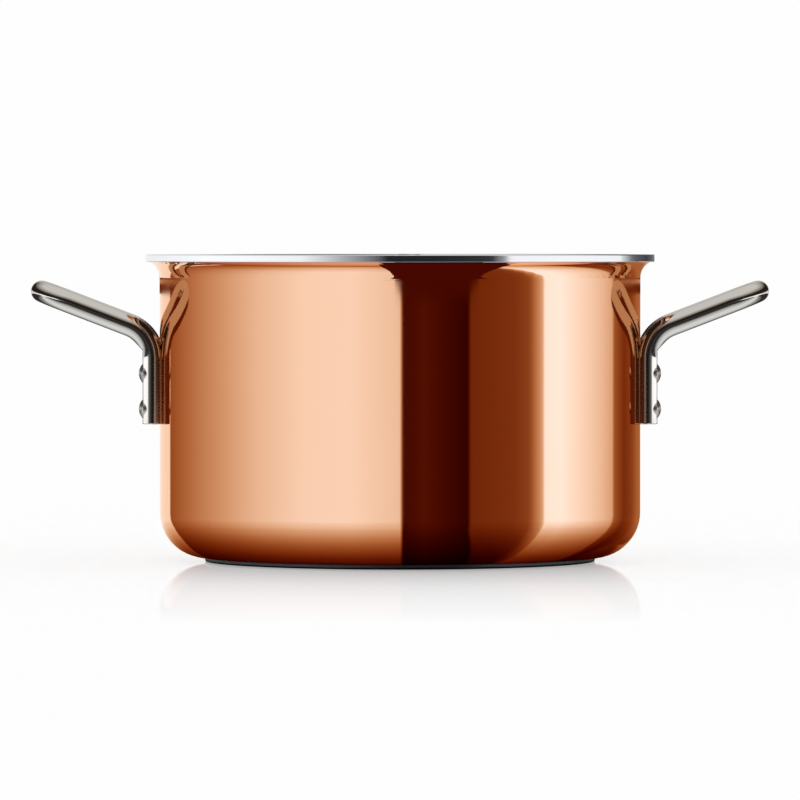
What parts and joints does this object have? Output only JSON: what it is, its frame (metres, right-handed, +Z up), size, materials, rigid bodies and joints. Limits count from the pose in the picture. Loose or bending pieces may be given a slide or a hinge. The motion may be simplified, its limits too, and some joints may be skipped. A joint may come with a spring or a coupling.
{
  "type": "two-handled cooking pot",
  "caption": "Deep two-handled copper cooking pot with an aluminium core, a steel lining, a flared rim and riveted rod handles.",
  "frame": {"origin": "centre of the base disc's underside, on the surface that the pot stands on", "axes": "+Z up through the open mouth, +X through the right handle, -Y towards the front"},
  "size_m": [0.347, 0.2392, 0.1441],
  "materials": {
    "polished_copper": "mirror polished copper",
    "core_aluminium": "plain rolled aluminium",
    "liner_steel": "satin inside, polished rim",
    "disc_steel": "turned magnetic steel",
    "handle_steel": "polished steel rod",
    "rivet_steel": "satin steel"
  },
  "bodies": {
    "root": {"copper_shell": "polished_copper", "aluminium_core": "core_aluminium", "steel_liner": "liner_steel", "base_disc": "disc_steel", "left_handle": "handle_steel", "right_handle": "handle_steel", "rivet_left_front_lower": "rivet_steel", "rivet_left_front_upper": "rivet_steel", "rivet_left_back_lower": "rivet_steel", "rivet_left_back_upper": "rivet_steel", "rivet_right_front_lower": "rivet_steel", "rivet_right_front_upper": "rivet_steel", "rivet_right_back_lower": "rivet_steel", "rivet_right_back_upper": "rivet_steel"}
  },
  "joints": []
}
